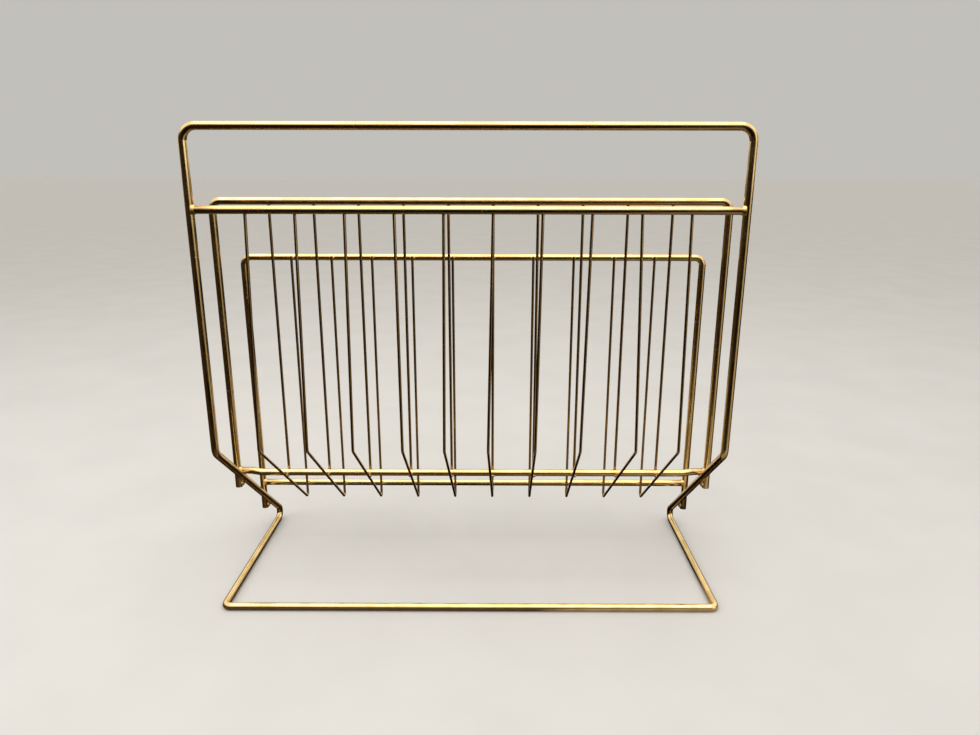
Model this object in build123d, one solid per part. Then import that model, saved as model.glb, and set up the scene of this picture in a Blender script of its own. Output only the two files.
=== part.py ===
from build123d import *

import math
import os

# Magazine rack bent and welded from round brass-plated rod and wire.
#
# One closed loop of rod makes the carrying handle, the two sides, the slope below
# them and the foot on the floor. Two upside-down U hoops stand behind the front,
# with their legs welded to the outer flanks of the sloping rods. Ten basket wires
# run from the front rail down under the magazines and up to the rear hoop, and ten
# straight wires fill the middle hoop, so there is a pocket on each side of it.
#
# +X runs along the rack, +Y from front to back and +Z up, in millimetres. The
# origin is on the floor, in the middle of the rack's footprint. A setback is a
# distance behind the centre line of the foot's front bar.

# Stock
rod_diameter = 6.0
wire_diameter = 2.3

# Wires across the rack, and the space from the frame's side to the first of them
wire_count = 10
wire_margin = 38.0

# Outer frame, on the rod's centre line
frame_width = 400.0
front_setback = 14.5
handle_height = 375.5
knee_height = 130.5
slope_angle = 39.2
handle_bend = 10.0
knee_bend = 10.0
heel_bend = 6.5
foot_bend = 5.0

# Front rail, and the room between it and the handle for a hand
hand_room = 51.5

# Middle hoop, the divider between the two pockets, and its rail
middle_hoop_setback = 72.5
middle_hoop_height = 322.0
joggle_margin = 3.0
joggle_run = 9.0
joggle_bend = 12.0

# Rear hoop, set in from the frame's heel, and its rail above the basket wires' toes
rear_hoop_inset = 35.8
rear_hoop_height = 270.5
rear_rail_rise = 13.5

# Both hoops
hoop_bend = 7.0
leg_overrun = 7.5

# Basket wires: their knees stand above the frame's, and their toes above its slope
basket_knee_setback = 8.0
basket_knee_rise = 4.5
basket_toe_rise = 2.5
basket_knee_bend = 4.0
basket_toe_bend = 2.5
wire_end_overrun = 1.2

# How far each basket wire's knee wanders sideways from its even place
knee_drift = (-1.5, 0.0, -0.5, 2.0, -1.5, -3.5, -3.0, -4.0, 3.0, 0.0)

# Welds: how deep a rail's end is seated, the fillet round it with its thin outer
# lip, and the nugget under each leg
weld_seat = 0.4
weld_leg = 1.2
weld_lip = 0.2
nugget_radius = 2.0
nugget_drop = 4.5

# Worked out from the sizes above
rod_radius = rod_diameter / 2
wire_radius = wire_diameter / 2
rod_on_rod = rod_diameter
wire_on_rod = rod_radius + wire_radius
slope = math.radians(slope_angle)
half_frame = frame_width / 2
half_hoop = half_frame + rod_on_rod
wire_pitch = (frame_width - 2 * wire_margin) / (wire_count - 1)
front_rail_height = handle_height - rod_on_rod - hand_room


# The corner that the slope and the floor rail would make without its bend, and the
# back of the bend itself, which is the back of the whole rack
heel_corner = front_setback + (knee_height - rod_radius) / math.tan(slope)
heel_back = heel_corner - heel_bend / math.tan(slope / 2) + heel_bend + rod_radius
foot_front = -rod_radius
middle_of_footprint = (heel_back + foot_front) / 2
rear_hoop_setback = heel_corner - rear_hoop_inset


def slope_height(setback):
    """Height of the frame's sloping rods above a given setback."""
    return knee_height - (setback - front_setback) * math.tan(slope)


def at(x, setback, height):
    """A point in the rack's own frame."""
    return Vector(x, setback - middle_of_footprint, height)


def bent(points, bends, diameter):
    """Round stock along straight runs joined by bends."""
    line = FilletPolyline(*points, radius=bends)
    section = Plane(origin=line @ 0, z_dir=line % 0) * Circle(diameter / 2)
    return sweep(section, path=line)


def straight(start, end, diameter):
    """A straight length of round stock with square ends."""
    line = Line(start, end)
    section = Plane(origin=start, z_dir=end - start) * Circle(diameter / 2)
    return extrude(section, amount=line.length)


def save(name, shape):
    """Write one sub-part under its node's name."""
    shape.label = name
    export_step(shape, f"parts/{name}.step")


def outer_frame():
    """The closed loop: half of it is bent, then mirrored and joined."""
    half = bent(
        [
            at(0, front_setback, handle_height),
            at(half_frame, front_setback, handle_height),
            at(half_frame, front_setback, knee_height),
            at(half_frame, heel_corner, rod_radius),
            at(half_frame, 0, rod_radius),
            at(0, 0, rod_radius),
        ],
        [handle_bend, knee_bend, heel_bend, foot_bend],
        rod_diameter,
    )
    return half + mirror(half, about=Plane.YZ)


def hoop(setback, height):
    """An upside-down U whose legs pass the sloping rods and end just below them."""
    foot = slope_height(setback) - leg_overrun
    return bent(
        [
            at(-half_hoop, setback, foot),
            at(-half_hoop, setback, height),
            at(half_hoop, setback, height),
            at(half_hoop, setback, foot),
        ],
        [hoop_bend, hoop_bend],
        rod_diameter,
    )


def upright(x, setback, low, high):
    """A stretch of rod that a rail's end is seated on."""
    return straight(at(x, setback, low), at(x, setback, high), rod_diameter)


def seated(rail, x, setback, height):
    """A rail with its two ends hollowed to fit the uprights that they butt against."""
    reach = 2 * rod_diameter
    for side in (-1, 1):
        rail = rail - upright(side * x, setback, height - reach, height + reach)
    return rail


def front_rail():
    end = half_frame - rod_radius + weld_seat
    rail = straight(
        at(-end, front_setback, front_rail_height),
        at(end, front_setback, front_rail_height),
        rod_diameter,
    )
    return seated(rail, half_frame, front_setback, front_rail_height)


def rear_rail():
    end = half_hoop - rod_radius + weld_seat
    rail = straight(
        at(-end, rear_hoop_setback, rear_rail_height),
        at(end, rear_hoop_setback, rear_rail_height),
        rod_diameter,
    )
    return seated(rail, half_hoop, rear_hoop_setback, rear_rail_height)


# The basket wires' long slope, from knee to toe, and the rail just above the toes
toe_setback = rear_hoop_setback - wire_on_rod
basket_knee_height = knee_height + basket_knee_rise
basket_toe_height = slope_height(toe_setback) + basket_toe_rise
rear_rail_height = basket_toe_height + rear_rail_rise
basket_slope = math.atan2(
    basket_knee_height - basket_toe_height,
    toe_setback - basket_knee_setback,
)


def basket_height(setback):
    """Height of the basket wires' long slope at a given setback."""
    return basket_knee_height - (setback - basket_knee_setback) * math.tan(basket_slope)


# The middle rail lies on the basket wires, and its ends step up over the frame
middle_rail_height = basket_height(middle_hoop_setback) + wire_on_rod / math.cos(basket_slope)
middle_rail_end_height = slope_height(middle_hoop_setback) + rod_on_rod / math.cos(slope)
joggle_outer = half_frame - rod_radius - joggle_margin
joggle_inner = joggle_outer - joggle_run


def middle_rail():
    end = half_hoop - rod_radius + weld_seat
    left = [
        at(-end, middle_hoop_setback, middle_rail_end_height),
        at(-joggle_outer, middle_hoop_setback, middle_rail_end_height),
        at(-joggle_inner, middle_hoop_setback, middle_rail_height),
    ]
    right = [Vector(-point.X, point.Y, point.Z) for point in reversed(left)]
    rail = bent(left + right, [joggle_bend] * 4, rod_diameter)
    return seated(rail, half_hoop, middle_hoop_setback, middle_rail_end_height)


def wire_places():
    """Even places across the rack, centred on the origin."""
    return [wire_pitch * (index - (wire_count - 1) / 2) for index in range(wire_count)]


def basket_wire(x, drift):
    """One wire from behind the front rail, under the pockets and up to the rear hoop."""
    # The front run leans forward from the back of the front rail to its knee
    drop = front_rail_height - basket_knee_height
    lean = front_setback - basket_knee_setback
    reach = math.hypot(drop, lean)
    turn = math.atan2(lean, drop) + math.asin(wire_on_rod / reach)
    length = math.sqrt(reach**2 - wire_on_rod**2) + wire_end_overrun
    top_setback = basket_knee_setback + length * math.sin(turn)
    top_height = basket_knee_height + length * math.cos(turn)
    return bent(
        [
            at(x, top_setback, top_height),
            at(x + drift, basket_knee_setback, basket_knee_height),
            at(x, toe_setback, basket_toe_height),
            at(x, toe_setback, rear_hoop_height + wire_end_overrun),
        ],
        [basket_knee_bend, basket_toe_bend],
        wire_diameter,
    )


def divider_wire(x):
    """One straight wire behind the middle hoop's top and its rail."""
    setback = middle_hoop_setback + wire_on_rod
    return straight(
        at(x, setback, middle_rail_height - wire_end_overrun),
        at(x, setback, middle_hoop_height + wire_end_overrun),
        wire_diameter,
    )


def both_sides(piece):
    """A piece and its mirror image on the other side of the rack."""
    return Compound(children=[piece, mirror(piece, about=Plane.YZ)])


def rail_welds(rail, x, setback, height):
    """Fillets of braze round a rail's ends, where they butt against the uprights."""
    root = Plane(origin=at(rod_radius - weld_leg - x, setback, height), z_dir=(1, 0, 0))
    brim = root * Circle(rod_radius + weld_leg)
    lip = root.offset(2 * weld_leg) * Circle(rod_radius + weld_lip)
    collar = loft([brim, lip])
    reach = 2 * rod_diameter
    return both_sides(collar - rail - upright(-x, setback, height - reach, height + reach))


def leg_welds(setback):
    """Nuggets of braze in the corners under the sloping rods, where a hoop's legs pass."""
    side = half_frame + rod_radius
    height = slope_height(setback) - nugget_drop
    # The ball's poles point at the middles of the rod and the leg, so both are cut away.
    across = nugget_drop * math.cos(slope)
    towards_rod = Vector(rod_radius, across * math.sin(slope), across * math.cos(slope))
    nugget = Plane(at(-side, setback, height), z_dir=towards_rod) * Sphere(nugget_radius)
    leg = upright(-half_hoop, setback, height - rod_diameter, height + rod_diameter)
    knee = at(-half_frame, front_setback, knee_height)
    heel = at(-half_frame, heel_corner, rod_radius)
    return both_sides(nugget - leg - straight(knee, heel, rod_diameter))


def build():
    os.makedirs("parts", exist_ok=True)
    frame = outer_frame()
    rail_front = front_rail()
    rail_middle = middle_rail()
    rail_rear = rear_rail()
    hoop_middle = hoop(middle_hoop_setback, middle_hoop_height)
    hoop_rear = hoop(rear_hoop_setback, rear_hoop_height)

    save("outer_frame", frame)
    save("front_rail", rail_front)
    save("middle_hoop", hoop_middle)
    save("middle_rail", rail_middle)
    save("rear_hoop", hoop_rear)
    save("rear_rail", rail_rear)

    for number, (x, drift) in enumerate(zip(wire_places(), knee_drift), start=1):
        save(f"basket_wire_{number:02d}", basket_wire(x, drift))
        save(f"divider_wire_{number:02d}", divider_wire(x))

    save("front_rail_welds", rail_welds(rail_front, half_frame, front_setback, front_rail_height))
    middle_collars = rail_welds(rail_middle, half_hoop, middle_hoop_setback, middle_rail_end_height)
    save("middle_rail_welds", middle_collars - frame)
    save("rear_rail_welds", rail_welds(rail_rear, half_hoop, rear_hoop_setback, rear_rail_height))
    save("middle_hoop_welds", leg_welds(middle_hoop_setback))
    save("rear_hoop_welds", leg_welds(rear_hoop_setback))


build()
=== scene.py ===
import math
import random

import bmesh
import bpy
from bpy.props import FloatProperty, FloatVectorProperty, IntProperty, PointerProperty
from bpy.types import Operator, Panel, PropertyGroup
from mathutils import Matrix, Vector


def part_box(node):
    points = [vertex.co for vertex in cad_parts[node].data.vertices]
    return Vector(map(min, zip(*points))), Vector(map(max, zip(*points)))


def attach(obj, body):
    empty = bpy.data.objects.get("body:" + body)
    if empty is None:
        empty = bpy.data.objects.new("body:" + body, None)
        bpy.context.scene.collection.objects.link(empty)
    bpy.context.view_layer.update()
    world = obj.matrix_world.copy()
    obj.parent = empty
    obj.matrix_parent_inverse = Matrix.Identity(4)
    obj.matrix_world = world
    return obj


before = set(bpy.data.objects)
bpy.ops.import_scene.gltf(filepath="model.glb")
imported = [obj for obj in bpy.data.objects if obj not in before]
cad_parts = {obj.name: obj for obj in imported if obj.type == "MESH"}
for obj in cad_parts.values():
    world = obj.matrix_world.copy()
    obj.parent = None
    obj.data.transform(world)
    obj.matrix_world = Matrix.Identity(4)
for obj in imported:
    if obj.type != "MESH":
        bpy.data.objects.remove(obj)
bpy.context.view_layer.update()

bl_info = {
    "name": "Magazine Rack Finish",
    "version": (1, 0, 0),
    "blender": (4, 5, 0),
    "location": "View3D > Sidebar > Rack",
    "description": "Worn brass plating, braze beads and a studio for a wire magazine rack",
    "category": "Object",
}

# The rack stands on the floor at z = 0, with its handle side towards -Y. All lengths
# are in metres.

RAILS = ("front_rail", "middle_rail", "rear_rail")
BENT_RODS = ("outer_frame", "middle_hoop", "rear_hoop")
DIVIDER_WIRES = tuple(sorted(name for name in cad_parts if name.startswith("divider_wire")))
BASKET_WIRES = tuple(sorted(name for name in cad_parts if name.startswith("basket_wire")))
WELDS = tuple(sorted(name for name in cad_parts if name.endswith("_welds")))


def middle(node):
    """The middle of a sub-part's box."""
    low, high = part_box(node)
    return (low + high) / 2


def span(node):
    """The size of a sub-part's box."""
    low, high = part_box(node)
    return high - low


ROD_RADIUS = span("front_rail").z / 2


# The room that the metal mirrors: a window to the front right, a pale wall close
# behind, dim walls elsewhere, and dark boards that catch some light near the rack
WINDOW = (0.84, -0.54, 0.0)
LEFT = (-1.0, 0.0, 0.0)
CEILING = (1.30, 1.25, 1.12, 1.0)
BACK_WALL = (0.66, 0.62, 0.54, 1.0)
WALL_FOOT = (0.60, 0.54, 0.44, 1.0)
FRONT_WALL = (0.022, 0.015, 0.010, 1.0)
WINDOW_LIGHT = (1.45, 1.36, 1.18, 1.0)
WINDOW_SHEEN = (0.42, 0.36, 0.27, 1.0)
DARK_BOARDS = (0.006, 0.004, 0.003, 1.0)
BROWN_BOARDS = (0.034, 0.020, 0.009, 1.0)
NEAR_BOARDS = (0.11, 0.085, 0.055, 1.0)

# The share of that room's light that falls on matt surfaces
MATT_SHARE = 0.72

# Softboxes, with powers in watts
OVERHEAD = {"place": (0.0, -0.25, 1.5), "aim": (0, 0, 0.1), "size": 1.6, "power": 13}
SIDE_FILL = {"place": (-1.3, -0.7, 0.9), "aim": (0, 0, 0.15), "size": 0.8, "power": 5}
SOFTBOX_COLOUR = (1.0, 0.965, 0.91)

# Half the width of the studio's floor
FLOOR_REACH = 40

# Roughness where each kind of piece still shines, and how much of it is specked
ROD_FINISH = {"polish": 0.15, "cover": 0.40}
RAIL_FINISH = {"polish": 0.15, "cover": 0.42}
WIRE_FINISH = {"polish": 0.17, "cover": 0.36}
WELD_FINISH = {"polish": 0.34, "cover": 0.55}

# How strongly each kind of wear, and the painted shade on undersides, colours, roughens and marks
# the plating
CLOUD_DULLING = 0.75
# Painted shade: how far the undersides darken towards the tarnish colour
UNDERSIDE_PAINTED_SHADE = 0.55
UNDERSIDE_SOFTNESS = 0.6
STAIN_DIRT = 0.6
SPECK_DIRT = 0.65
SPECK_METAL = 0.6
CLOUD_ROUGHNESS = 0.10
SPECK_ROUGHNESS = 0.30
GRAIN_HEIGHT = 0.12
RELIEF_STRENGTH = 0.35
RELIEF_DEPTH = 0.0002


# Sizes and colours

class RackBrass(PropertyGroup):
    """Colours, wear and painted underside shade of the brass plating."""

    plate: FloatVectorProperty(
        name="Plating",
        description="Clean, polished brass plating",
        default=(0.86, 0.64, 0.31),
        subtype="COLOR",
        min=0,
        max=1,
    )
    dull: FloatVectorProperty(
        name="Dulled plating",
        description="Plating that has lost its polish",
        default=(0.68, 0.47, 0.20),
        subtype="COLOR",
        min=0,
        max=1,
    )
    # This colour also paints the shade on undersides, besides the real tarnish in pits and round the
    # welds.
    tarnish_and_shade: FloatVectorProperty(
        name="Tarnish",
        description="Brown tarnish on undersides, in pits and round the welds",
        default=(0.13, 0.062, 0.018),
        subtype="COLOR",
        min=0,
        max=1,
    )
    braze: FloatVectorProperty(
        name="Braze",
        description="Plated weld metal",
        default=(0.68, 0.47, 0.20),
        subtype="COLOR",
        min=0,
        max=1,
    )
    wire_browning: FloatProperty(
        name="Wire browning",
        description="How far the thin wires have browned with age",
        default=0.58,
        subtype="FACTOR",
        min=0,
        max=1,
    )
    cloud_size: FloatProperty(
        name="Cloud size",
        description="Width of the dulled clouds on the plating",
        default=0.016,
        unit="LENGTH",
    )
    speck_size: FloatProperty(
        name="Speck spacing",
        description="Spacing of the pits and rust specks",
        default=0.0019,
        unit="LENGTH",
    )
    stain_reach: FloatProperty(
        name="Heat stain",
        description="How far a rail's ends are stained by the heat of welding",
        default=0.016,
        unit="LENGTH",
    )


class RackBeads(PropertyGroup):
    """The small beads of braze where wires cross rods."""

    along: FloatProperty(
        name="Along the rod",
        description="Half length of a bead along its rod",
        default=0.0024,
        unit="LENGTH",
    )
    across: FloatProperty(
        name="Along the wire",
        description="Half length of a bead along its wire",
        default=0.0017,
        unit="LENGTH",
    )
    rise: FloatProperty(
        name="Rise",
        description="Height of a bead above the rod's surface",
        default=0.0013,
        unit="LENGTH",
    )
    unevenness: FloatProperty(
        name="Unevenness",
        description="How much the beads differ in size and outline",
        default=0.18,
        subtype="FACTOR",
        min=0,
        max=1,
    )
    seed: IntProperty(
        name="Seed",
        description="Start of the beads' random draws",
        default=7,
    )


class RackStudio(PropertyGroup):
    """Camera, floor and light."""

    camera_place: FloatVectorProperty(
        name="Camera place",
        description="Where the camera stands",
        default=(0.01734, -0.59018, 0.34493),
        subtype="TRANSLATION",
        unit="LENGTH",
    )
    camera_tilt: FloatProperty(
        name="Camera tilt",
        description="Angle up from looking straight down",
        default=math.radians(74.684),
        subtype="ANGLE",
        unit="ROTATION",
    )
    camera_turn: FloatProperty(
        name="Camera turn",
        description="Turn about the upright",
        default=math.radians(0.1675),
        subtype="ANGLE",
        unit="ROTATION",
    )
    camera_roll: FloatProperty(
        name="Camera roll",
        description="Turn about the line of sight",
        default=math.radians(0.101),
        subtype="ANGLE",
        unit="ROTATION",
    )
    lens: FloatProperty(
        name="Lens",
        description="Focal length on a 36 mm wide sensor",
        default=26.312,
        unit="CAMERA",
    )
    floor: FloatVectorProperty(
        name="Floor",
        description="Colour of the floor",
        default=(0.60, 0.595, 0.605),
        subtype="COLOR",
        min=0,
        max=1,
    )
    backdrop: FloatVectorProperty(
        name="Backdrop",
        description="Colour of the air behind the rack",
        default=(0.54, 0.525, 0.495),
        subtype="COLOR",
        min=0,
        max=1,
    )


# Shader building

def add(tree, kind, **settings):
    """A new shader node with the given properties."""
    made = tree.nodes.new(kind)
    for name, value in settings.items():
        setattr(made, name, value)
    return made


def feed(tree, socket, source):
    """Sets a socket to a constant, or links another socket to it."""
    if isinstance(source, bpy.types.NodeSocket):
        tree.links.new(source, socket)
    else:
        socket.default_value = source


def blend_colours(tree, factor, first, second):
    """Mixes two colours by a mask."""
    mix = add(tree, "ShaderNodeMix", data_type="RGBA")
    feed(tree, mix.inputs[0], factor)
    feed(tree, mix.inputs[6], first)
    feed(tree, mix.inputs[7], second)
    return mix.outputs[2]


def maths(tree, operation, *terms):
    """One arithmetic step on one to three terms."""
    made = add(tree, "ShaderNodeMath", operation=operation)
    for socket, term in zip(made.inputs, terms):
        feed(tree, socket, term)
    return made.outputs[0]


def remap(tree, value, start, end, low=0.0, high=1.0):
    """Eases a value from one range into another."""
    made = add(tree, "ShaderNodeMapRange", interpolation_type="SMOOTHSTEP")
    feed(tree, made.inputs[0], value)
    feed(tree, made.inputs[1], start)
    feed(tree, made.inputs[2], end)
    feed(tree, made.inputs[3], low)
    feed(tree, made.inputs[4], high)
    return made.outputs[0]


def length(tree, vector):
    """How far a point is from the origin."""
    made = add(tree, "ShaderNodeVectorMath", operation="LENGTH")
    feed(tree, made.inputs[0], vector)
    return made.outputs["Value"]


def towards(tree, vector, way, start, end):
    """Grows as a vector turns towards a given way."""
    unit = add(tree, "ShaderNodeVectorMath", operation="NORMALIZE")
    feed(tree, unit.inputs[0], vector)
    dot = add(tree, "ShaderNodeVectorMath", operation="DOT_PRODUCT")
    feed(tree, dot.inputs[0], unit.outputs[0])
    feed(tree, dot.inputs[1], way)
    return remap(tree, dot.outputs["Value"], start, end)


def noise(tree, place, scale, detail):
    """A cloudy value around one half."""
    made = add(tree, "ShaderNodeTexNoise")
    feed(tree, made.inputs["Vector"], place)
    feed(tree, made.inputs["Scale"], scale)
    feed(tree, made.inputs["Detail"], detail)
    return made.outputs[0]


def new_group(name, inputs, outputs):
    """An empty node group with named sockets."""
    tree = bpy.data.node_groups.new(name, "ShaderNodeTree")
    for label, default in inputs:
        socket = tree.interface.new_socket(label, in_out="INPUT", socket_type="NodeSocketFloat")
        socket.default_value = default
    for label in outputs:
        tree.interface.new_socket(label, in_out="OUTPUT", socket_type="NodeSocketFloat")
    return tree, add(tree, "NodeGroupInput"), add(tree, "NodeGroupOutput")


def plating_wear():
    """Dulled clouds, pits and fine grain over the plating."""
    if "plating_wear" in bpy.data.node_groups:
        return bpy.data.node_groups["plating_wear"]
    inputs = [("Cloud Size", 0.016), ("Speck Spacing", 0.0026), ("Speck Cover", 0.5)]
    tree, given, made = new_group("plating_wear", inputs, ["Clouds", "Specks", "Grain"])
    place = add(tree, "ShaderNodeTexCoord").outputs["Object"]

    cloud_scale = maths(tree, "DIVIDE", 1.0, given.outputs["Cloud Size"])
    clouds = noise(tree, place, cloud_scale, 4.0)
    feed(tree, made.inputs["Clouds"], remap(tree, clouds, 0.38, 0.66))

    cells = add(tree, "ShaderNodeTexVoronoi")
    feed(tree, cells.inputs["Vector"], place)
    feed(tree, cells.inputs["Scale"], maths(tree, "DIVIDE", 1.0, given.outputs["Speck Spacing"]))
    spots = remap(tree, cells.outputs["Distance"], 0.30, 0.10)
    patches = noise(tree, place, maths(tree, "MULTIPLY", cloud_scale, 0.7), 2.0)
    edge = maths(tree, "SUBTRACT", 1.0, given.outputs["Speck Cover"])
    where = remap(tree, patches, edge, maths(tree, "ADD", edge, 0.12))
    feed(tree, made.inputs["Specks"], maths(tree, "MULTIPLY", spots, where))

    feed(tree, made.inputs["Grain"], noise(tree, place, 1500.0, 3.0))
    return tree


def underside_painted_shade():
    """Painted shade: a darker colour on the surfaces that look down, with a ragged edge."""
    if "underside_painted_shade" in bpy.data.node_groups:
        return bpy.data.node_groups["underside_painted_shade"]
    tree, given, made = new_group("underside_painted_shade", [("Softness", 0.45)], ["Mask"])
    coordinates = add(tree, "ShaderNodeTexCoord")
    facing = add(tree, "ShaderNodeSeparateXYZ")
    feed(tree, facing.inputs[0], coordinates.outputs["Normal"])
    ragged = noise(tree, coordinates.outputs["Object"], 260.0, 3.0)
    shifted = maths(tree, "ADD", facing.outputs["Z"], maths(tree, "MULTIPLY", ragged, 0.35))
    start = maths(tree, "MULTIPLY", given.outputs["Softness"], 0.35)
    end = maths(tree, "SUBTRACT", start, given.outputs["Softness"])
    feed(tree, made.inputs["Mask"], remap(tree, shifted, start, end))
    return tree


def heat_stain():
    """Brown stain that starts at a distance from the rack's middle and grows outwards."""
    if "heat_stain" in bpy.data.node_groups:
        return bpy.data.node_groups["heat_stain"]
    tree, given, made = new_group("heat_stain", [("Start", 0.18), ("Reach", 0.016)], ["Stain"])
    place = add(tree, "ShaderNodeTexCoord").outputs["Object"]
    split = add(tree, "ShaderNodeSeparateXYZ")
    feed(tree, split.inputs[0], place)
    distance = maths(tree, "ABSOLUTE", split.outputs["X"])
    ragged = maths(tree, "MULTIPLY", noise(tree, place, 300.0, 3.0), 0.008)
    outer = maths(tree, "ADD", given.outputs["Start"], given.outputs["Reach"])
    stain = remap(tree, maths(tree, "ADD", distance, ragged), given.outputs["Start"], outer)
    feed(tree, made.inputs["Stain"], stain)
    return tree


def place_group(tree, group, **values):
    """Places a node group in a material with its own values."""
    made = add(tree, "ShaderNodeGroup", node_tree=group)
    for name, value in values.items():
        made.inputs[name.replace("_", " ")].default_value = value
    return made


def colour(value):
    """A colour with full alpha."""
    return (*value, 1.0)


def brass(name, clean, polish, cover, stain_start=None, browning=0.0):
    """Worn brass plating, with painted shade on its undersides. Polish is the roughness where it
    still shines, and browning is the least tarnish anywhere on it."""
    look = bpy.context.scene.rack_brass
    material = bpy.data.materials.new(name)
    material.use_nodes = True
    tree = material.node_tree
    tree.nodes.clear()
    surface = add(tree, "ShaderNodeBsdfPrincipled")
    wear = place_group(
        tree,
        plating_wear(),
        Cloud_Size=look.cloud_size,
        Speck_Spacing=look.speck_size,
        Speck_Cover=cover,
    )
    under = place_group(tree, underside_painted_shade(), Softness=UNDERSIDE_SOFTNESS)
    clouds, specks, grain = (wear.outputs[label] for label in ("Clouds", "Specks", "Grain"))

    dulled = maths(tree, "MULTIPLY", clouds, CLOUD_DULLING)
    shade = blend_colours(tree, dulled, colour(clean), colour(look.dull))
    # Painted shade: surfaces that look down take the tarnish colour. The wires' browning and the
    # rails' heat stain, which are real, join the same mask.
    shade_and_dirt = maths(tree, "MULTIPLY", under.outputs["Mask"], UNDERSIDE_PAINTED_SHADE)
    shade_and_dirt = maths(tree, "MAXIMUM", shade_and_dirt, browning)
    if stain_start is not None:
        heat = place_group(tree, heat_stain(), Start=stain_start, Reach=look.stain_reach)
        stain = maths(tree, "MULTIPLY", heat.outputs["Stain"], STAIN_DIRT)
        shade_and_dirt = maths(tree, "MAXIMUM", shade_and_dirt, stain)
    shade = blend_colours(tree, shade_and_dirt, shade, colour(look.tarnish_and_shade))
    pitted = maths(tree, "MULTIPLY", specks, SPECK_DIRT)
    shade = blend_colours(tree, pitted, shade, colour(look.tarnish_and_shade))
    feed(tree, surface.inputs["Base Color"], shade)

    feed(tree, surface.inputs["Metallic"], remap(tree, specks, 0.0, 1.0, 1.0, SPECK_METAL))
    rough = maths(tree, "MULTIPLY_ADD", clouds, CLOUD_ROUGHNESS, polish)
    rough = maths(tree, "MULTIPLY_ADD", specks, SPECK_ROUGHNESS, rough)
    feed(tree, surface.inputs["Roughness"], rough)

    bump = add(tree, "ShaderNodeBump")
    bump.inputs["Strength"].default_value = RELIEF_STRENGTH
    bump.inputs["Distance"].default_value = RELIEF_DEPTH
    pits = maths(tree, "MULTIPLY", specks, -1.0)
    relief = maths(tree, "MULTIPLY_ADD", grain, GRAIN_HEIGHT, pits)
    feed(tree, bump.inputs["Height"], relief)
    feed(tree, surface.inputs["Normal"], bump.outputs["Normal"])

    out = add(tree, "ShaderNodeOutputMaterial")
    feed(tree, out.inputs["Surface"], surface.outputs["BSDF"])
    return material


def dress(node, material):
    """Gives a packed sub-part a finish."""
    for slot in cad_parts[node].material_slots:
        slot.material = material


# Braze beads

def bead(mesh, draw, sizes, centre, outward):
    """Adds one closed bead on a rod that runs along X, where a wire crosses it."""
    rings, segments = 6, 22
    sunk = -0.3 * sizes.rise
    grow = 1 + sizes.unevenness * draw.uniform(-1, 1)
    phases = [draw.uniform(0, math.tau) for _ in range(3)]
    wire_way = Vector((1, 0, 0)).cross(outward)

    def outline(turn):
        waves = sum(math.sin((2 + k) * turn + phase) / (2 + k) for k, phase in enumerate(phases))
        return grow * (1 + 0.5 * sizes.unevenness * waves)

    def point(share, turn, height):
        reach = share * outline(turn)
        along = sizes.along * reach * math.cos(turn)
        around = sizes.across * reach * math.sin(turn) / ROD_RADIUS
        way = outward * math.cos(around) + wire_way * math.sin(around)
        return mesh.verts.new(centre + Vector((along, 0, 0)) + way * (ROD_RADIUS + height))

    turns = [math.tau * k / segments for k in range(segments)]
    top = point(0, 0, sizes.rise * grow)
    loops = []
    for ring in range(1, rings + 1):
        share = ring / rings
        height = sizes.rise * grow * (1 - share * share) ** 1.2 + sunk * share**6
        loops.append([point(share, turn, height) for turn in turns])
    base = point(0, 0, 3 * sunk)
    for k in range(segments):
        after = (k + 1) % segments
        mesh.faces.new((top, loops[0][k], loops[0][after]))
        for inner, outer in zip(loops, loops[1:]):
            mesh.faces.new((inner[k], outer[k], outer[after], inner[after]))
        mesh.faces.new((base, loops[-1][after], loops[-1][k]))


def bead_row(name, rod_axis, outward, material):
    """One row of beads along a rod, at each wire."""
    sizes = bpy.context.scene.rack_beads
    draw = random.Random(f"{name} {sizes.seed}")
    mesh = bmesh.new()
    for wire in DIVIDER_WIRES:
        crossing = Vector((middle(wire).x, rod_axis.y, rod_axis.z))
        for way in outward:
            bead(mesh, draw, sizes, crossing, way.normalized())
    bmesh.ops.recalc_face_normals(mesh, faces=mesh.faces)
    data = bpy.data.meshes.new(name)
    mesh.to_mesh(data)
    mesh.free()
    data.shade_smooth()
    data.materials.append(material)
    piece = bpy.data.objects.new(name, data)
    bpy.context.scene.collection.objects.link(piece)
    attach(piece, "root")
    return piece


# Operators

class RACK_OT_rod_finish(Operator):
    """Give the bent rods and the rails their worn brass plating."""

    bl_idname = "rack.rod_finish"
    bl_label = "Finish Rods"

    def execute(self, context):
        look = context.scene.rack_brass
        rod = brass("worn_brass_rod", look.plate, **ROD_FINISH)
        for node in BENT_RODS:
            dress(node, rod)
        for node in RAILS:
            start = span(node).x / 2 - look.stain_reach
            rail = brass(f"worn_brass_{node}", look.plate, stain_start=start, **RAIL_FINISH)
            dress(node, rail)
        return {"FINISHED"}


class RACK_OT_wire_finish(Operator):
    """Give the basket and divider wires their worn brass plating."""

    bl_idname = "rack.wire_finish"
    bl_label = "Finish Wires"

    def execute(self, context):
        look = context.scene.rack_brass
        wire = brass("worn_brass_wire", look.plate, browning=look.wire_browning, **WIRE_FINISH)
        for node in BASKET_WIRES + DIVIDER_WIRES:
            dress(node, wire)
        return {"FINISHED"}


class RACK_OT_weld_finish(Operator):
    """Give the weld collars and nuggets their rougher plating."""

    bl_idname = "rack.weld_finish"
    bl_label = "Finish Welds"

    def execute(self, context):
        look = context.scene.rack_brass
        weld = brass("plated_braze", look.braze, **WELD_FINISH)
        for node in WELDS:
            dress(node, weld)
        return {"FINISHED"}


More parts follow.
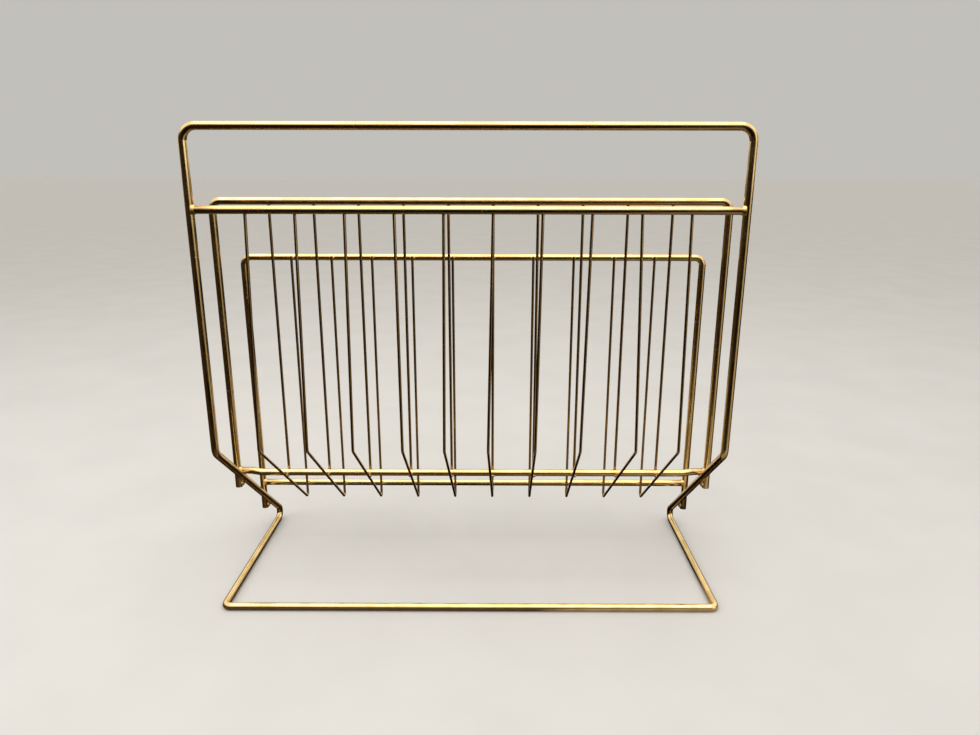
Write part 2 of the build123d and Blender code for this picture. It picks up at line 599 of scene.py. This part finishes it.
class RACK_OT_braze_beads(Operator):
    """Add a bead of braze wherever a wire crosses a rod."""

    bl_idname = "rack.braze_beads"
    bl_label = "Add Braze Beads"

    def execute(self, context):
        material = bpy.data.materials["plated_braze"]
        front, back = Vector((0, -1, 0)), Vector((0, 1, 0))
        top_of = {hoop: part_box(hoop)[1].z - ROD_RADIUS for hoop in ("middle_hoop", "rear_hoop")}
        slope = self.basket_slope()
        below = Vector((0, -math.sin(slope), -math.cos(slope)))
        middle_rail = Vector((0, middle("middle_rail").y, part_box("middle_rail")[0].z + ROD_RADIUS))
        middle_bar = Vector((0, middle("middle_hoop").y, top_of["middle_hoop"]))
        rear_bar = Vector((0, middle("rear_hoop").y, top_of["rear_hoop"]))
        bead_row("front_rail_beads", middle("front_rail"), [back], material)
        bead_row("middle_hoop_beads", middle_bar, [back], material)
        bead_row("middle_rail_beads", middle_rail, [back, below], material)
        bead_row("rear_hoop_beads", rear_bar, [front], material)
        bead_row("rear_rail_beads", middle("rear_rail"), [front], material)
        return {"FINISHED"}

    @staticmethod
    def basket_slope():
        """Angle at which the basket wires run down under the middle rail."""
        low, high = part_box(BASKET_WIRES[0])
        rail = middle("middle_rail")
        under_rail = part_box("middle_rail")[0].z + ROD_RADIUS - low.z
        return math.atan2(under_rail, high.y - rail.y)


def mirrored_floor(tree, place):
    """Colour of the floor in the metal's gloss: dark boards, and the foot of the back wall."""
    split = add(tree, "ShaderNodeSeparateXYZ")
    feed(tree, split.inputs[0], place)
    reach = length(tree, place)
    in_front = remap(tree, split.outputs["Y"], 0.02, -0.10)
    near_front = maths(tree, "MULTIPLY", remap(tree, reach, 0.42, 0.16), in_front)
    behind = remap(tree, split.outputs["Y"], 0.09, 0.16)
    near_wall = maths(tree, "MULTIPLY", remap(tree, reach, 0.70, 0.35), behind)
    shade = blend_colours(tree, towards(tree, place, LEFT, 0.2, 0.9), DARK_BOARDS, BROWN_BOARDS)
    shade = blend_colours(tree, near_front, shade, NEAR_BOARDS)
    shade = blend_colours(tree, towards(tree, place, WINDOW, 0.90, 0.98), shade, WINDOW_SHEEN)
    return blend_colours(tree, near_wall, shade, WALL_FOOT)


class RACK_OT_studio(Operator):
    """Set the camera, the pale floor and the soft light."""

    bl_idname = "rack.studio"
    bl_label = "Set Studio"

    def execute(self, context):
        studio = context.scene.rack_studio
        self.camera(context.scene, studio)
        self.floor(context.scene, studio)
        self.air(context.scene, studio)
        self.softbox(context.scene, "overhead_softbox", **OVERHEAD)
        fill = self.softbox(context.scene, "side_softbox", **SIDE_FILL)
        fill.visible_glossy = False
        context.scene.view_settings.view_transform = "Standard"
        return {"FINISHED"}

    @staticmethod
    def camera(scene, studio):
        """A camera in front of the rack, a little lower than its handle, looking down at it."""
        data = bpy.data.cameras.new("camera")
        data.sensor_width = 36
        data.lens = studio.lens
        data.clip_end = 100
        camera = bpy.data.objects.new("camera", data)
        camera.matrix_world = (
            Matrix.Translation(studio.camera_place)
            @ Matrix.Rotation(studio.camera_turn, 4, "Z")
            @ Matrix.Rotation(studio.camera_tilt, 4, "X")
            @ Matrix.Rotation(studio.camera_roll, 4, "Z")
        )
        scene.collection.objects.link(camera)
        scene.camera = camera

    @staticmethod
    def floor(scene, studio):
        """A wide pale floor. In the metal's gloss it is a dark room's floor and a wall."""
        mesh = bmesh.new()
        bmesh.ops.create_grid(mesh, x_segments=8, y_segments=8, size=FLOOR_REACH)
        data = bpy.data.meshes.new("studio_floor")
        mesh.to_mesh(data)
        mesh.free()
        floor = bpy.data.objects.new("studio_floor", data)
        scene.collection.objects.link(floor)

        material = bpy.data.materials.new("pale_floor")
        material.use_nodes = True
        tree = material.node_tree
        tree.nodes.clear()
        paint = add(tree, "ShaderNodeBsdfPrincipled")
        place = add(tree, "ShaderNodeTexCoord").outputs["Object"]
        mottle = remap(tree, noise(tree, place, 9.0, 4.0), 0.3, 0.7)
        darker = [channel * 0.96 for channel in studio.floor]
        pale = blend_colours(tree, mottle, colour(studio.floor), colour(darker))
        feed(tree, paint.inputs["Base Color"], pale)
        paint.inputs["Roughness"].default_value = 0.9
        paint.inputs["Specular IOR Level"].default_value = 0.2
        gloss = add(tree, "ShaderNodeEmission")
        feed(tree, gloss.inputs["Color"], mirrored_floor(tree, place))
        rays = add(tree, "ShaderNodeLightPath")
        choose = add(tree, "ShaderNodeMixShader")
        feed(tree, choose.inputs[0], rays.outputs["Is Glossy Ray"])
        feed(tree, choose.inputs[1], paint.outputs[0])
        feed(tree, choose.inputs[2], gloss.outputs[0])
        feed(tree, add(tree, "ShaderNodeOutputMaterial").inputs["Surface"], choose.outputs[0])
        data.materials.append(material)

    @staticmethod
    def air(scene, studio):
        """Pale air to look at, and a room with a bright ceiling and dim walls, which the
        metal mirrors and which lights matt surfaces more weakly."""
        world = bpy.data.worlds.new("studio_air")
        world.use_nodes = True
        tree = world.node_tree
        tree.nodes.clear()
        split = add(tree, "ShaderNodeSeparateXYZ")
        direction = add(tree, "ShaderNodeTexCoord").outputs["Generated"]
        feed(tree, split.inputs[0], direction)
        behind = remap(tree, split.outputs["Y"], -0.1, 0.5)
        walls = blend_colours(tree, behind, FRONT_WALL, BACK_WALL)
        window = towards(tree, direction, WINDOW, 0.88, 0.97)
        walls = blend_colours(tree, window, walls, WINDOW_LIGHT)
        ceiling = remap(tree, split.outputs["Z"], 0.20, 0.52)
        room = add(tree, "ShaderNodeBackground")
        feed(tree, room.inputs[0], blend_colours(tree, ceiling, walls, CEILING))
        rays = add(tree, "ShaderNodeLightPath")
        strength = remap(tree, rays.outputs["Is Diffuse Ray"], 0.0, 1.0, 1.0, MATT_SHARE)
        feed(tree, room.inputs[1], strength)
        seen = add(tree, "ShaderNodeBackground")
        seen.inputs[0].default_value = colour(studio.backdrop)
        choose = add(tree, "ShaderNodeMixShader")
        feed(tree, choose.inputs[0], rays.outputs["Is Camera Ray"])
        feed(tree, choose.inputs[1], room.outputs[0])
        feed(tree, choose.inputs[2], seen.outputs[0])
        feed(tree, add(tree, "ShaderNodeOutputWorld").inputs["Surface"], choose.outputs[0])
        scene.world = world

    @staticmethod
    def softbox(scene, name, place, aim, size, power):
        """A square area light aimed at a point."""
        data = bpy.data.lights.new(name, "AREA")
        data.size = size
        data.energy = power
        data.color = SOFTBOX_COLOUR
        light = bpy.data.objects.new(name, data)
        light.location = place
        light.rotation_euler = (Vector(aim) - Vector(place)).to_track_quat("-Z", "Y").to_euler()
        scene.collection.objects.link(light)
        return light


class RACK_PT_panel(Panel):
    """Lists the rack's finishes, beads and studio."""

    bl_idname = "RACK_PT_panel"
    bl_label = "Magazine Rack"
    bl_space_type = "VIEW_3D"
    bl_region_type = "UI"
    bl_category = "Rack"

    def draw(self, context):
        for group, operators in STEPS:
            box = self.layout.box()
            settings = getattr(context.scene, group)
            for name in settings.__annotations__:
                box.prop(settings, name)
            for operator in operators:
                box.operator(operator.bl_idname)


STEPS = (
    ("rack_brass", (RACK_OT_rod_finish, RACK_OT_wire_finish, RACK_OT_weld_finish)),
    ("rack_beads", (RACK_OT_braze_beads,)),
    ("rack_studio", (RACK_OT_studio,)),
)
SETTINGS = {"rack_brass": RackBrass, "rack_beads": RackBeads, "rack_studio": RackStudio}
CLASSES = (
    *SETTINGS.values(),
    RACK_OT_rod_finish,
    RACK_OT_wire_finish,
    RACK_OT_weld_finish,
    RACK_OT_braze_beads,
    RACK_OT_studio,
    RACK_PT_panel,
)


def register():
    for item in CLASSES:
        bpy.utils.register_class(item)
    for name, group in SETTINGS.items():
        setattr(bpy.types.Scene, name, PointerProperty(type=group))


def unregister():
    for name in SETTINGS:
        delattr(bpy.types.Scene, name)
    for item in reversed(CLASSES):
        bpy.utils.unregister_class(item)


def main():
    register()
    bpy.ops.rack.rod_finish()
    bpy.ops.rack.wire_finish()
    bpy.ops.rack.weld_finish()
    bpy.ops.rack.braze_beads()
    bpy.ops.rack.studio()


if __name__ == "__main__":
    main()
